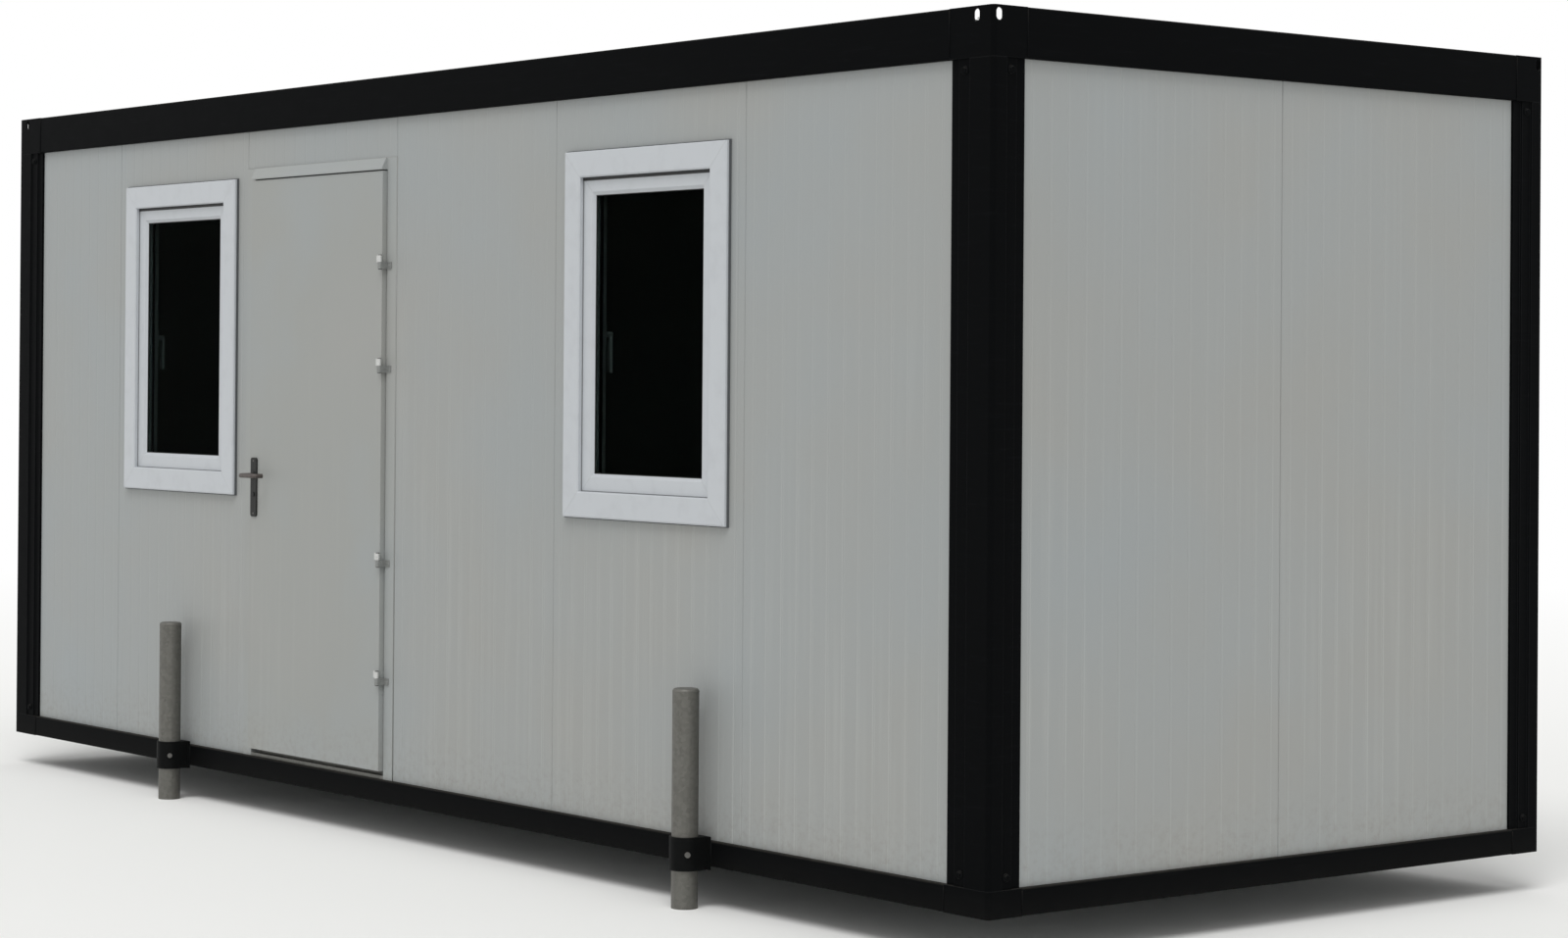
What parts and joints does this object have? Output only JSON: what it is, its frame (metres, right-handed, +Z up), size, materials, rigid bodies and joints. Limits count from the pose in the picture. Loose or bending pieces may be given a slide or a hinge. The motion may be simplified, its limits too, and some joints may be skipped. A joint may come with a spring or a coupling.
{
  "type": "site office cabin",
  "caption": "Steel-framed site office cabin with ribbed sandwich panel walls, an outward-opening door, tall plastic windows and pinned support legs.",
  "frame": {"origin": "on the ground under the middle of the cabin, at the level of the leg feet", "axes": "+X along the long walls, -Y out of the door side, +Z up"},
  "size_m": [6.055, 2.651, 2.721],
  "materials": {
    "frame_paint": "satin",
    "panel_paint": "satin",
    "door_paint": "satin",
    "door_frame_paint": "satin",
    "window_plastic": "satin",
    "window_glass": "clear",
    "handle_plastic": "satin",
    "hinge_steel": "satin",
    "leg_steel": "dull",
    "clamp_paint": "satin",
    "pin_steel": "satin",
    "roof_steel": "satin",
    "ceiling_paint": "satin",
    "floor_vinyl": "matt",
    "underfloor_steel": "dull"
  },
  "bodies": {
    "cabin": {"back_wall_panels": "panel_paint", "base_corner_fittings": "frame_paint", "base_rail_back": "frame_paint", "base_rail_front": "frame_paint", "base_rail_left": "frame_paint", "base_rail_right": "frame_paint", "ceiling": "ceiling_paint", "corner_post_back_left": "frame_paint", "corner_post_back_right": "frame_paint", "corner_post_front_left": "frame_paint", "corner_post_front_right": "frame_paint", "door_head": "door_frame_paint", "door_hinge_jamb_halves": "hinge_steel", "door_jamb_left": "door_frame_paint", "door_jamb_right": "door_frame_paint", "door_sill": "door_frame_paint", "end_wall_left_panels": "panel_paint", "end_wall_right_panels": "panel_paint", "floor_deck": "floor_vinyl", "floor_joists": "underfloor_steel", "front_wall_panels": "panel_paint", "leg_clamps": "clamp_paint", "leg_pins": "pin_steel", "roof_corner_fittings": "frame_paint", "roof_rail_back": "frame_paint", "roof_rail_front": "frame_paint", "roof_rail_left": "frame_paint", "roof_rail_right": "frame_paint", "roof_sheet": "roof_steel", "support_legs": "leg_steel", "underfloor_sheet": "underfloor_steel", "window_frame_left": "window_plastic", "window_frame_right": "window_plastic", "window_glass_left": "window_glass", "window_glass_right": "window_glass", "window_handles": "window_plastic", "window_panel_left": "panel_paint", "window_panel_right": "panel_paint", "window_sash_left": "window_plastic", "window_sash_right": "window_plastic"},
    "door": {"door_leaf": "door_paint", "door_lock_plates": "handle_plastic", "lock_cylinder": "pin_steel", "door_hinge_leaf_halves": "hinge_steel"},
    "lever": {"door_lever": "handle_plastic"}
  },
  "joints": [
    {"name": "door_swing", "type": "hinge", "parent": "cabin", "child": "door", "pos_m": [-0.1665, -1.23, 1.25], "axis": [0, 0, 1], "range_deg": [0, 110]},
    {"name": "lever_press", "type": "hinge", "parent": "door", "child": "lever", "pos_m": [-1.05, -1.1975, 1.272], "axis": [0, 1, 0], "range_deg": [0, 40], "stiffness_Nm_per_rad": 3, "springref_deg": -17.19}
  ]
}
